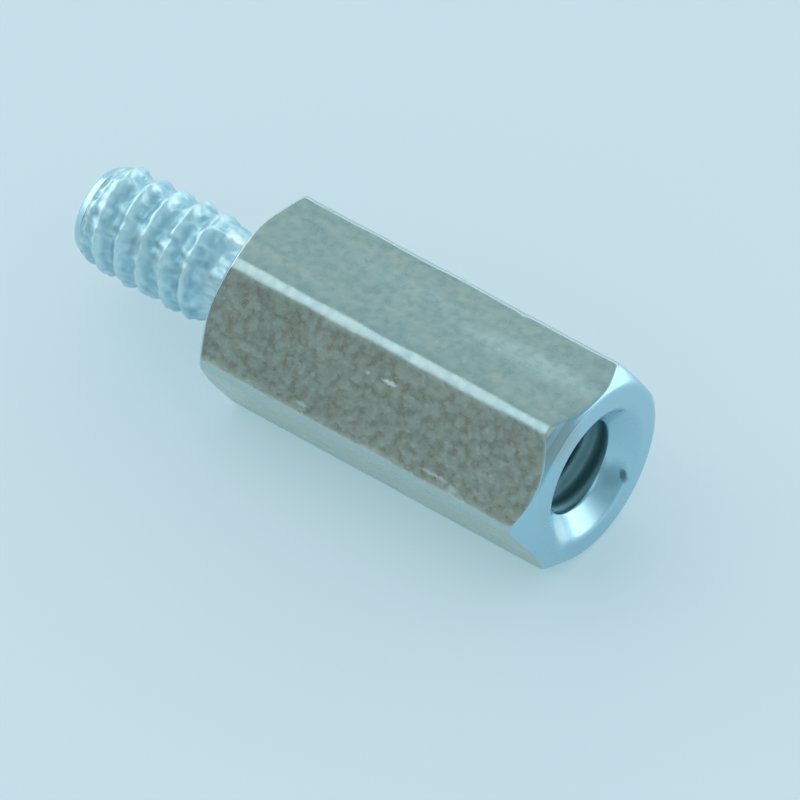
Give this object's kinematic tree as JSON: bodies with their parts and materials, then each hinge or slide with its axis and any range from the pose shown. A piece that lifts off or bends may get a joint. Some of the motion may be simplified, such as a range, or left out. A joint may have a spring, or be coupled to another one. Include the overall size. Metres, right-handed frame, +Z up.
{
  "type": "hex standoff",
  "caption": "Male-female hex standoff: a hexagonal steel spacer with a threaded stud at one end and a tapped, countersunk hole at the other.",
  "frame": {"origin": "on the surface the standoff lies on, under the middle of its length", "axes": "+X along the standoff's axis from the stud towards the tapped hole's mouth, +Z up from the flat that it lies on"},
  "size_m": [0.0144, 0.0054, 0.0047],
  "materials": {
    "zinc_plate": "bright zinc plating over turned steel, dull on the bar's flats"
  },
  "bodies": {
    "root": {"standoff": "zinc_plate"}
  },
  "joints": []
}
